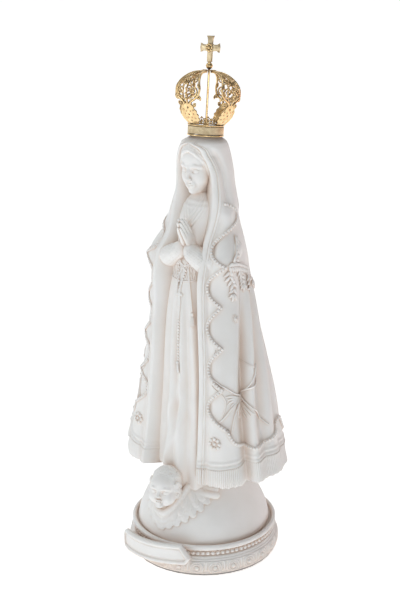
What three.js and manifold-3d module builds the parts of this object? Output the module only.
// A crowned praying madonna, about 300 mm tall: cast marble-powder sections bonded to each other, with a
// pierced brass crown that lifts off the head. Millimetres, +Z up. The statue faces -Y and its left hand is
// on the +X side. The origin is the centre of the round foot, on the surface that the statue stands on.
import * as THREE from 'three';
import { mergeVertices } from 'three/addons/utils/BufferGeometryUtils.js';
import Module from 'manifold-3d';

const wasm = await Module();
wasm.setup();

// ---------------------------------------------------------------- driving dimensions
const GAP = 0.35; // the bond line between two neighbouring sections
const DEG = Math.PI / 180;

const FELT = { radius: 43.8, thickness: 1.2 };
const PLINTH = { base: 1.5, boreRadius: 30, seatTop: 16.4 };
const GLOBE = { radius: 40, centreY: -0.3, centreZ: 12, rise: 42, base: 16.7, wall: 8 };
const SCROLL = {
  halfWidth: 25.4,
  height: 12.6,
  thickness: 3.2,
  midX: -1.6,
  midZ: 12,
  tilt: 0.14,
  frontY: -49.6,
  sag: 6,
};
const CHERUB = { y: -35.5, z: 49.5, halfWidth: 7.6, halfDepth: 7.8, halfHeight: 9.4 };
const WING = { thickness: 3.4, frontY: -38.6, wrap: 46 };
const ROD = { radius: 1.5, bottom: 30, top: 234 };

// Rows of [height, half width, half depth, centre Y] of the tunic and of the cloak's outside.
const ROBE_ROWS = [
  [47, 24, 28.8, 0],
  [55, 24.4, 28.8, 0],
  [75, 23.8, 27.2, 0],
  [100, 22.8, 25, 0],
  [123, 21.6, 23.2, 0],
  [150, 19.2, 20, 0],
  [168, 16.2, 16.6, 0],
  [178, 14, 14.2, 0],
  [190, 13, 13, 0],
  [200, 13, 11.8, 0.5],
  [207, 12, 10, 1],
  [213, 9.4, 8.2, 1],
];
const CLOAK_ROWS = [
  [54, 55.6, 36, 2],
  [66, 53.4, 34.8, 2],
  [93, 47.6, 32.5, 2],
  [123, 40.6, 29, 1.2],
  [152, 34.4, 26, 1],
  [173, 30.8, 23.8, 1],
  [188, 27.6, 20, 2],
  [200, 22.8, 18, 2.6],
  [208, 20.4, 17.2, 2.8],
  [220, 17.6, 16, 3],
  [230, 16.4, 15.2, 3],
  [238, 15, 14.2, 2.4],
  [242, 13.6, 13.2, 1.7],
  [244.4, 11.6, 11.6, 1.4],
  [246, 9, 9, 1.3],
];
// Rows of [height, half width, back Y] of the opening down the cloak's front, and round the face.
const OPENING_ROWS = [
  [50, 20.6, -14],
  [123, 19.4, -12],
  [165, 18.2, -8],
  [180, 18.4, -5],
  [192, 14.2, -1],
  [208, 13, 1],
  [222, 12.2, 1],
  [232, 10.6, 0],
  [238, 8.4, -2],
  [241.5, 5.2, -4],
  [243.6, 1.6, -6],
];
// A fold of the cloak: its direction from the front, its half width, its depth at the hem, where it dies out.
const CLOAK_FOLDS = [
  { at: 60, halfWidth: 10, depth: 4.6, top: 205 },
  { at: -60, halfWidth: 10, depth: 4.6, top: 205 },
  { at: 112, halfWidth: 11, depth: 2.8, top: 200 },
  { at: -112, halfWidth: 11, depth: 2.8, top: 200 },
  { at: 146, halfWidth: 12, depth: 3, top: 190 },
  { at: -146, halfWidth: 12, depth: 3, top: 190 },
];
const HEM_WALL = 4; // the cloak's thickness at its hem, where it is hollow
const HOLLOW_TOP = 92; // where the hollow under the cloak closes on the tunic

// The head is a plain egg: the figure's 200 mm are seven and a quarter heads, and a head is two thirds as
// wide and seven eighths as deep as it is high.
const HEAD_HALF = 200 / 7.25 / 2;
const HEAD = {
  y: 0.2,
  z: 230.2,
  halfWidth: (HEAD_HALF * 2) / 3,
  halfDepth: (HEAD_HALF * 7) / 8,
  halfHeight: HEAD_HALF,
  neckRadius: HEAD_HALF * 0.42,
  neckBase: 209,
};
const HANDS = { wrist: [-0.8, -11, 186.4], tips: [-0.8, -20.8, 202.6], halfWidth: 3.6, halfDepth: 4.2 };
const SLEEVE = {
  shoulder: [13, 0, 200],
  elbow: [16.4, -7.4, 180.8],
  cuff: [4.6, -12.4, 183.4],
  upperRadius: 5,
  cuffRadius: 6.6,
};

const CROWN = { seat: [0, 1.2, 246.6], tilt: 5, stubRadius: 7.8, stubTop: 2.2 };
const BAND = { inner: 9.2, outer: 9.9, rimOuter: 10.4, rimHeight: 0.9, bottom: 1.2, top: 5.2 };
const CREST = { lobes: 16, base: 6.7, valley: 7.6, peak: 9.9 };
// The arch of a crown petal, from its foot on the upper rim to the apex: [radius, height, width].
const PETAL_ROWS = [
  [10.25, 6.8, 6.2],
  [12.2, 8.6, 9.4],
  [14, 10.8, 11.2],
  [15.4, 13.2, 10.6],
  [16.2, 15.6, 8],
  [16.8, 17.8, 5.6],
  [17.4, 19.8, 10.5],
  [17.9, 22.6, 16],
  [17.7, 25.4, 16.6],
  [16.4, 28.4, 14],
  [13.2, 31.6, 10],
  [8.4, 33.9, 5.6],
  [2.2, 34.6, 2],
];
const PETAL = { thickness: 0.45, lengthSteps: 16, widthSteps: 2 };
// Pierced holes of a petal: [share of the arch's length, share of the half width, radius].
const PETAL_HOLES = [
  [0.2, 0.45, 1],
  [0.2, -0.45, 1],
  [0.48, 0.52, 2.2],
  [0.48, -0.52, 2.2],
  [0.55, 0, 1.6],
  [0.62, 0.5, 2],
  [0.62, -0.5, 2],
  [0.72, 0, 1.6],
];
const CROWN_ROD = { radius: 0.6, bottom: 2.7, top: 37.6 };
const BRIDGE = { bottom: 4.3, thickness: 0.6, halfLength: 8.1, width: 3 };
const NUT = { radius: 1.6, height: 1.1 };
const CALYX = { base: 35, thickness: 0.45, points: 8, outer: 4.1, inner: 2.5 };
const ORB = { radius: 1.9, z: 37.65 };
const CROSS = { bottom: 39.8, top: 53.6, armZ: 47.2, halfSpan: 6.4, thickness: 1.4, shaft: 3.4, end: 5 };
const ROSETTE = { radius: 2.6, thickness: 1.1, petals: 6 };

// ---------------------------------------------------------------- solids
function solidOf(geometry) {
  const loose = geometry.index ? geometry.toNonIndexed() : geometry;
  const bare = new THREE.BufferGeometry().setAttribute('position', loose.getAttribute('position'));
  const merged = mergeVertices(bare, 1e-3);
  const source = merged.index.array;
  const corners = [];
  for (let i = 0; i < source.length; i += 3) {
    const [a, b, c] = source.subarray(i, i + 3);
    if (a !== b && b !== c && c !== a) corners.push(a, b, c);
  }
  const build = () =>
    new wasm.Manifold(
      new wasm.Mesh({
        numProp: 3,
        vertProperties: merged.getAttribute('position').array,
        triVerts: new Uint32Array(corners),
      }),
    );
  if (build().volume() > 0) return build();
  for (let i = 0; i < corners.length; i += 3) {
    const second = corners[i + 1];
    corners[i + 1] = corners[i + 2];
    corners[i + 2] = second;
  }
  return build();
}

function geometryOf(solid) {
  const mesh = solid.getMesh();
  const positions = new Float32Array(mesh.numVert * 3);
  for (let i = 0; i < mesh.numVert; i++) {
    positions.set(mesh.vertProperties.subarray(i * mesh.numProp, i * mesh.numProp + 3), i * 3);
  }
  const geometry = new THREE.BufferGeometry();
  geometry.setAttribute('position', new THREE.BufferAttribute(positions, 3));
  geometry.setIndex(new THREE.BufferAttribute(mesh.triVerts, 1));
  geometry.computeVertexNormals();
  return geometry;
}

// Moves every vertex to place(x, y, z).
function morph(geometry, place) {
  const position = geometry.getAttribute('position');
  for (let i = 0; i < position.count; i++) {
    position.setXYZ(i, ...place(position.getX(i), position.getY(i), position.getZ(i)));
  }
  return geometry;
}

// A round solid about Z from a profile of [radius, height], which runs from axis to axis or closes on itself.
function turned(profile, sides) {
  const points = profile.map(([r, z]) => new THREE.Vector2(r, z));
  return new THREE.LatheGeometry(points, sides).rotateX(90 * DEG);
}

function disc(radius, bottom, top, sides = 36) {
  return turned([[0, bottom], [radius, bottom], [radius, top], [0, top]], sides);
}

function ring(inner, outer, bottom, top, sides = 28) {
  return turned([[inner, bottom], [outer, bottom], [outer, top], [inner, top], [inner, bottom]], sides);
}

// A smooth value between rows of [height, value, value, ...]: cubic steps with the rows' own slopes.
function between(rows, z) {
  const last = rows.length - 1;
  const at = Math.min(Math.max(z, rows[0][0]), rows[last][0]);
  let i = 0;
  while (i < last - 1 && at > rows[i + 1][0]) i++;
  const [low, high] = [rows[i], rows[i + 1]];
  const before = rows[Math.max(i - 1, 0)];
  const after = rows[Math.min(i + 2, last)];
  const span = high[0] - low[0];
  const t = (at - low[0]) / span;
  return low.slice(1).map((value, k) => {
    const next = high[k + 1];
    const startSlope = ((next - before[k + 1]) / (high[0] - before[0])) * span;
    const endSlope = ((after[k + 1] - value) / (after[0] - low[0])) * span;
    const [t2, t3] = [t * t, t * t * t];
    return (
      value * (2 * t3 - 3 * t2 + 1) +
      startSlope * (t3 - 2 * t2 + t) +
      next * (3 * t2 - 2 * t3) +
      endSlope * (t3 - t2)
    );
  });
}

// A solid between two heights whose outline at height z is outline(x, y, z) of the unit circle's points.
function loft(bottom, top, steps, sides, outline) {
  const profile = [[0, 0]];
  for (let i = 0; i <= steps; i++) profile.push([1, i / steps]);
  profile.push([0, 1]);
  return morph(turned(profile, sides), (x, y, share) => {
    const z = bottom + (top - bottom) * share;
    return [...outline(x, y, z), z];
  });
}

// An egg with its poles on Z.
function egg(halfWidth, halfDepth, halfHeight, centre, sides = 20, rings = 12) {
  return new THREE.SphereGeometry(1, sides, rings)
    .rotateX(90 * DEG)
    .scale(halfWidth, halfDepth, halfHeight)
    .translate(...centre);
}

// A tapered limb with round ends from one point to another.
function limb(from, to, startRadius, endRadius, sides = 12) {
  const start = new THREE.Vector3(...from);
  const axis = new THREE.Vector3(...to).sub(start);
  const length = axis.length();
  const profile = [];
  const capSteps = 3;
  for (let i = 0; i <= capSteps; i++) {
    const angle = (i / capSteps) * 90 * DEG;
    profile.push([startRadius * Math.sin(angle), -startRadius * Math.cos(angle)]);
  }
  for (let i = capSteps; i >= 0; i--) {
    const angle = (i / capSteps) * 90 * DEG;
    profile.push([endRadius * Math.sin(angle), length + endRadius * Math.cos(angle)]);
  }
  profile[0][0] = 0;
  profile[profile.length - 1][0] = 0;
  const upright = new THREE.Vector3(0, 0, 1);
  const turn = new THREE.Quaternion().setFromUnitVectors(upright, axis.normalize());
  return turned(profile, sides).applyQuaternion(turn).translate(start.x, start.y, start.z);
}

function joined(...geometries) {
  return geometries.map(solidOf).reduce((whole, next) => whole.add(next));
}

// ---------------------------------------------------------------- the cast sections
const STONE = new THREE.MeshStandardMaterial({ color: 0xeeedea, roughness: 0.62, metalness: 0 });
const FELT_GREY = new THREE.MeshStandardMaterial({ color: 0x8d8b88, roughness: 0.95, metalness: 0 });
const STEEL = new THREE.MeshStandardMaterial({ color: 0x9a9a98, roughness: 0.4, metalness: 1 });
const GILT = new THREE.MeshStandardMaterial({ color: 0xd9a441, roughness: 0.22, metalness: 1 });

function globeSolid(grow = 0) {
  const { radius, centreY, centreZ, rise, base } = GLOBE;
  const ball = egg(radius + grow, radius + grow, rise + grow, [0, centreY, centreZ], 32, 16);
  const below = disc(radius * 2, centreZ - rise * 2, base - grow, 12);
  return solidOf(ball).subtract(solidOf(below));
}

function globe() {
  const { radius, centreY, centreZ, rise, wall } = GLOBE;
  const hollow = egg(radius - wall, radius - wall, rise - 2 * wall, [0, centreY, centreZ], 18, 12);
  return globeSolid().subtract(solidOf(hollow)).subtract(rodBore());
}

function rodBore() {
  return solidOf(disc(ROD.radius + GAP, ROD.bottom - 1, ROD.top + 1, 12));
}

// The round foot: a bulged moulding, two fillets, a sunk bead course and a half-round rim.
function plinth() {
  const { base, boreRadius, seatTop } = PLINTH;
  const profile = [
    [boreRadius, base],
    [44.3, base],
    [45.1, 2.6],
    [45.3, 4.6],
    [45.1, 6.8],
    [44.3, 8.6],
    [43.6, 8.9],
    [43.6, 10.2],
    [42.9, 10.5],
    [42.9, 11.7],
    [41.9, 12],
    [41.9, 14.5],
    [42.7, 14.8],
    [43.4, 16],
    [43.4, 16.9],
    [42.7, 17.9],
    [41.6, 18.4],
    [40.9, 18],
    [40.7, seatTop],
    [boreRadius, seatTop],
    [boreRadius, base],
  ];
  return solidOf(turned(profile, 40)).subtract(scrollSolid(GAP));
}

// The blank name scroll: a bowed tablet with notched ends that stands in front of the foot.
function scrollSolid(grow = 0) {
  const { halfWidth, height, thickness, midX, midZ, tilt, frontY, sag } = SCROLL;
  const tablet = new THREE.BoxGeometry(2, 1, 1, 12, 1, 2);
  morph(tablet, (x, y, z) => {
    const notch = 1.6 * (1 - Math.abs(z) * 2) * Math.abs(x) ** 8;
    const across = x * (halfWidth + grow + notch);
    const bow = sag * (across / halfWidth) ** 2;
    const deep = frontY + bow + (y + 0.5) * thickness + y * 2 * grow;
    return [midX + across, deep, midZ + tilt * across + z * (height + 2 * grow)];
  });
  return solidOf(tablet);
}

function globeCut(solid) {
  return solid.subtract(globeSolid(GAP));
}

function cherubHeadSolid(grow = 0) {
  const { y, z, halfWidth, halfDepth, halfHeight } = CHERUB;
  const head = egg(halfWidth + grow, halfDepth + grow, halfHeight + grow, [0, y, z], 14, 10);
  const neck = egg(5 + grow, 6 + grow, 6 + grow, [0, y + 2, z - 8.5], 10, 6);
  return joined(head, neck);
}

// A wing: a feathered plate that wraps the globe's front, from the cherub's chin out to the raised tip.
function wing(side) {
  const outline = new THREE.Shape();
  outline.moveTo(0.4, 30.5);
  outline.quadraticCurveTo(6, 29.6, 10.5, 31.6);
  outline.lineTo(17, 36.6);
  outline.lineTo(22.5, 42.4);
  outline.lineTo(27.5, 48.2);
  outline.quadraticCurveTo(29.4, 50.6, 29, 51.8);
  outline.quadraticCurveTo(20, 52.6, 13.5, 49);
  outline.quadraticCurveTo(9.5, 44, 7.5, 39.4);
  outline.quadraticCurveTo(4, 36.6, 0.4, 36.2);
  outline.closePath();
  const settings = { depth: WING.thickness, bevelEnabled: false, curveSegments: 5 };
  const plate = new THREE.ExtrudeGeometry(outline, settings);
  morph(plate, (x, z, depth) => {
    const lean = (z - 30) * 0.24;
    return [side * x, WING.frontY + lean + (x * x) / WING.wrap + depth, z];
  });
  const shape = solidOf(plate).subtract(cherubHeadSolid(GAP)).subtract(robeSolid(GAP));
  return globeCut(shape);
}

function cherubHead() {
  return globeCut(cherubHeadSolid().subtract(robeSolid(GAP)));
}

function robeSolid(grow = 0) {
  const [bottom, top] = [ROBE_ROWS[0][0], ROBE_ROWS[ROBE_ROWS.length - 1][0]];
  const outside = loft(bottom - grow, top + grow, 14, 24, (x, y, z) => {
    const [halfWidth, halfDepth, centreY] = between(ROBE_ROWS, z);
    return [x * (halfWidth + grow), centreY + y * (halfDepth + grow)];
  });
  return solidOf(outside);
}

function headSolid(grow = 0) {
  const { y, z, halfWidth, halfDepth, halfHeight, neckRadius, neckBase } = HEAD;
  const skull = egg(halfWidth + grow, halfDepth + grow, halfHeight + grow, [0, y, z], 18, 12);
  const neck = disc(neckRadius + grow, neckBase - grow, z - 6, 14).translate(0, y, 0);
  return joined(skull, neck);
}

function handsSolid(grow = 0) {
  const { wrist, tips, halfWidth, halfDepth } = HANDS;
  const palms = limb(wrist, tips, halfDepth + grow, 1.7 + grow, 12);
  return solidOf(morph(palms, (x, y, z) => [(x * (halfWidth + grow)) / (halfDepth + grow), y, z]));
}

function sleeveSolid(side, grow = 0) {
  const mirrored = ([x, y, z]) => [side * x, y, z];
  const { shoulder, elbow, cuff, upperRadius, cuffRadius } = SLEEVE;
  const upper = limb(mirrored(shoulder), mirrored(elbow), upperRadius + grow, upperRadius + 0.6 + grow);
  const fore = limb(mirrored(elbow), mirrored(cuff), upperRadius + 0.6 + grow, cuffRadius + grow);
  return joined(upper, fore);
}

function robe() {
  return globeCut(robeSolid()).subtract(headSolid(GAP)).subtract(rodBore());
}

function praying() {
  return handsSolid().subtract(robeSolid(GAP));
}

function sleeve(side) {
  const half = new THREE.BoxGeometry(60, 80, 80).translate(side * (30 + GAP / 2), 0, 190);
  return sleeveSolid(side)
    .intersect(solidOf(half))
    .subtract(robeSolid(GAP))
    .subtract(handsSolid(GAP));
}

function head() {
  return headSolid().subtract(rodBore());
}

// How much of the cloak's radius is left where a fold runs, at the direction (x, y) and height z.
function foldShare(x, y, z, halfWidth) {
  const direction = Math.atan2(x, -y) / DEG;
  return CLOAK_FOLDS.reduce((share, fold) => {
    const away = (direction - fold.at) / fold.halfWidth;
    const fade = Math.max(0, (fold.top - z) / (fold.top - CLOAK_ROWS[0][0]));
    return share - (fold.depth * fade * Math.exp(-away * away)) / halfWidth;
  }, 1);
}

function cloakOutside() {
  const [bottom, top] = [CLOAK_ROWS[0][0], CLOAK_ROWS[CLOAK_ROWS.length - 1][0]];
  const outside = loft(bottom, top, 17, 36, (x, y, z) => {
    const [halfWidth, halfDepth, centreY] = between(CLOAK_ROWS, z);
    const share = foldShare(x, y, z, halfWidth);
    return [x * halfWidth * share, centreY + y * halfDepth * share];
  });
  return solidOf(outside);
}

// The hollow under the hem, which narrows up to the tunic.
function cloakHollow() {
  const [bottom] = CLOAK_ROWS[0];
  const hollow = loft(bottom - 1, HOLLOW_TOP, 3, 36, (x, y, z) => {
    const [outerX, outerY, centreY] = between(CLOAK_ROWS, z);
    const [innerX, innerY] = between(ROBE_ROWS, z);
    const share = foldShare(x, y, z, outerX);
    const closing = Math.max(0, (z - bottom) / (HOLLOW_TOP - bottom)) ** 1.5;
    const halfWidth = (outerX * share - HEM_WALL) * (1 - closing) + innerX * closing;
    const halfDepth = (outerY * share - HEM_WALL) * (1 - closing) + innerY * closing;
    return [x * halfWidth, centreY * (1 - closing) + y * halfDepth];
  });
  return solidOf(hollow);
}

// The opening down the front: it runs from below the hem to the forehead.
function cloakOpening() {
  const [bottom, top] = [OPENING_ROWS[0][0], OPENING_ROWS[OPENING_ROWS.length - 1][0]];
  const block = new THREE.BoxGeometry(2, 1, 1, 1, 1, 16);
  morph(block, (x, y, share) => {
    const z = bottom + (top - bottom) * (share + 0.5);
    const [halfWidth, backY] = between(OPENING_ROWS, z);
    return [x * halfWidth, y > 0 ? backY : -70, z];
  });
  return solidOf(block);
}

function crownStub() {
  const stub = disc(CROWN.stubRadius, -6, CROWN.stubTop, 32);
  return solidOf(stub.rotateX(-CROWN.tilt * DEG).translate(...CROWN.seat));
}

function cloak() {
  return cloakOutside()
    .add(crownStub())
    .subtract(cloakHollow())
    .subtract(cloakOpening())
    .subtract(robeSolid(GAP))
    .subtract(headSolid(GAP))
    .subtract(sleeveSolid(1, GAP))
    .subtract(sleeveSolid(-1, GAP))
    .subtract(globeSolid(GAP))
    .subtract(seatFlat());
}

// Shaves the head's top flat, square to the tilted crown, so that the crown's lower rim rests on it.
function seatFlat() {
  const above = ring(CROWN.stubRadius, 30, -GAP, 20, 32);
  return solidOf(above.rotateX(-CROWN.tilt * DEG).translate(...CROWN.seat));
}

// ---------------------------------------------------------------- the crown, about its own axis
function crownCrest() {
  const { lobes, base, valley, peak } = CREST;
  const strip = ring(BAND.inner, BAND.outer - 0.2, 0, 1, lobes * 2);
  return morph(strip, (x, y, z) => {
    const turn = Math.atan2(x, -y);
    const top = valley + (peak - valley) * Math.abs(Math.cos((turn * lobes) / 2));
    return [x, y, z > 0.5 ? top : base];
  });
}

// A point of a petal: how far along the arch, how far across, and how far out of its middle surface.
const ARCH = new THREE.CatmullRomCurve3(PETAL_ROWS.map(([r, z, width]) => new THREE.Vector3(r, width, z)));
function petalPoint(along, across, out) {
  const { x: r, y: width, z } = ARCH.getPointAt(along);
  const slope = ARCH.getTangentAt(along);
  const length = Math.hypot(slope.x, slope.z);
  const [outR, outZ] = [slope.z / length, -slope.x / length];
  const cup = Math.hypot(r, (across * width) / 2) - r;
  return [(across * width) / 2, -(r - cup + out * outR), z + out * outZ];
}

function petal() {
  const { thickness, lengthSteps, widthSteps } = PETAL;
  const strip = new THREE.BoxGeometry(2, 1, 1, widthSteps, 1, lengthSteps);
  morph(strip, (x, y, z) => petalPoint(z + 0.5, x, y * thickness));
  const holes = PETAL_HOLES.map(([along, across, radius]) => {
    const middle = new THREE.Vector3(...petalPoint(along, across, 0));
    const outward = new THREE.Vector3(...petalPoint(along, across, 1)).sub(middle).normalize();
    const turn = new THREE.Quaternion().setFromUnitVectors(new THREE.Vector3(0, 0, 1), outward);
    return solidOf(disc(radius, -1.2, 1.2, 6).applyQuaternion(turn).translate(middle.x, middle.y, middle.z));
  });
  return holes.reduce((pierced, hole) => pierced.subtract(hole), solidOf(strip));
}

function bridge() {
  const { bottom, thickness, halfLength, width } = BRIDGE;
  const bar = new THREE.BoxGeometry(2 * halfLength, width, thickness).translate(0, 0, bottom + thickness / 2);
  return solidOf(bar).subtract(solidOf(disc(CROWN_ROD.radius + GAP, bottom - 1, bottom + 2, 12)));
}

function nut(bottom) {
  return ring(CROWN_ROD.radius + GAP, NUT.radius, bottom, bottom + NUT.height, 6);
}

function calyx() {
  const { base, thickness, points, outer, inner } = CALYX;
  const corners = Array.from({ length: points * 2 }, (_, i) => {
    const angle = (i / (points * 2)) * 2 * Math.PI;
    const radius = i % 2 ? inner : outer;
    return new THREE.Vector2(radius * Math.cos(angle), radius * Math.sin(angle));
  });
  const star = new THREE.Shape(corners);
  const hole = new THREE.Path();
  hole.absarc(0, 0, CROWN_ROD.radius + GAP, 0, 2 * Math.PI, true);
  star.holes.push(hole);
  const plate = new THREE.ExtrudeGeometry(star, { depth: thickness, bevelEnabled: false, curveSegments: 6 });
  return plate.translate(0, 0, base);
}

function orb() {
  const ball = egg(ORB.radius, ORB.radius, ORB.radius, [0, 0, ORB.z], 16, 10);
  return solidOf(ball).subtract(solidOf(disc(CROWN_ROD.radius + GAP, ORB.z - 4, CROWN_ROD.top + GAP, 12)));
}

// A cross with flared ends, in the XZ plane.
function crossPlate() {
  const { bottom, top, armZ, halfSpan, thickness, shaft, end } = CROSS;
  const [thin, wide] = [shaft / 2, end / 2];
  const flare = 2.2;
  const outline = new THREE.Shape();
  outline.moveTo(-thin, bottom);
  outline.lineTo(thin, bottom);
  outline.lineTo(thin, armZ - thin);
  outline.lineTo(halfSpan - flare, armZ - thin);
  outline.lineTo(halfSpan, armZ - wide * 0.9);
  outline.lineTo(halfSpan, armZ + wide * 0.9);
  outline.lineTo(halfSpan - flare, armZ + thin);
  outline.lineTo(thin, armZ + thin);
  outline.lineTo(thin, top - flare);
  outline.lineTo(wide, top);
  outline.lineTo(-wide, top);
  outline.lineTo(-thin, top - flare);
  outline.lineTo(-thin, armZ + thin);
  outline.lineTo(flare - halfSpan, armZ + thin);
  outline.lineTo(-halfSpan, armZ + wide * 0.9);
  outline.lineTo(-halfSpan, armZ - wide * 0.9);
  outline.lineTo(flare - halfSpan, armZ - thin);
  outline.lineTo(-thin, armZ - thin);
  outline.closePath();
  const plate = new THREE.ExtrudeGeometry(outline, { depth: thickness, bevelEnabled: false });
  return plate.rotateX(90 * DEG).translate(0, thickness / 2, 0);
}

function rosette() {
  const { radius, thickness, petals } = ROSETTE;
  const steps = petals * 4;
  const edge = Array.from({ length: steps }, (_, i) => {
    const angle = (i / steps) * 2 * Math.PI;
    const reach = radius * (0.82 + 0.18 * Math.cos(angle * petals));
    return new THREE.Vector2(reach * Math.cos(angle), reach * Math.sin(angle));
  });
  const plate = new THREE.ExtrudeGeometry(new THREE.Shape(edge), { depth: thickness, bevelEnabled: false });
  return plate.rotateX(90 * DEG).translate(0, -CROSS.thickness / 2 - GAP, CROSS.armZ);
}

// ---------------------------------------------------------------- the assembly
const statue = new THREE.Group();
const crown = new THREE.Group();
crown.position.set(...CROWN.seat);
crown.rotation.x = -CROWN.tilt * DEG;
statue.add(crown);

function place(group, name, shape, material) {
  const solid = shape.isBufferGeometry ? solidOf(shape) : shape;
  const mesh = new THREE.Mesh(geometryOf(solid), material);
  mesh.name = name;
  group.add(mesh);
  return mesh;
}

place(statue, 'felt_pad', disc(FELT.radius, 0, FELT.thickness), FELT_GREY);
place(statue, 'plinth', plinth(), STONE);
place(statue, 'name_scroll', scrollSolid(), STONE);
place(statue, 'globe', globe(), STONE);
place(statue, 'cherub_head', cherubHead(), STONE);
place(statue, 'cherub_wing_left', wing(1), STONE);
place(statue, 'cherub_wing_right', wing(-1), STONE);
place(statue, 'tunic', robe(), STONE);
place(statue, 'sleeve_left', sleeve(1), STONE);
place(statue, 'sleeve_right', sleeve(-1), STONE);
place(statue, 'praying_hands', praying(), STONE);
place(statue, 'head', head(), STONE);
place(statue, 'cloak', cloak(), STONE);
place(statue, 'armature_rod', disc(ROD.radius, ROD.bottom, ROD.top, 12), STEEL);

place(crown, 'crown_rim_lower', ring(BAND.inner, BAND.rimOuter, 0, BAND.rimHeight), GILT);
place(crown, 'crown_band', ring(BAND.inner, BAND.outer, BAND.bottom, BAND.top), GILT);
const rimUpper = ring(BAND.inner, BAND.rimOuter, BAND.top + 0.3, BAND.top + 0.3 + BAND.rimHeight);
place(crown, 'crown_rim_upper', rimUpper, GILT);
place(crown, 'crown_crest', crownCrest(), GILT);
for (const [name, quarter] of [['front', 0], ['left', 1], ['back', 2], ['right', 3]]) {
  place(crown, 'crown_petal_' + name, petal(), GILT).rotation.z = quarter * 90 * DEG;
}
place(crown, 'crown_bridge', bridge(), GILT);
place(crown, 'crown_rod', disc(CROWN_ROD.radius, CROWN_ROD.bottom, CROWN_ROD.top, 12), GILT);
place(crown, 'crown_nut_lower', nut(BRIDGE.bottom - NUT.height - 0.3), GILT);
place(crown, 'crown_nut_upper', nut(BRIDGE.bottom + BRIDGE.thickness + 0.3), GILT);
place(crown, 'crown_calyx', calyx(), GILT);
place(crown, 'crown_orb', orb(), GILT);
place(crown, 'crown_cross', crossPlate(), GILT);
place(crown, 'crown_rosette', rosette(), GILT);

export default statue;
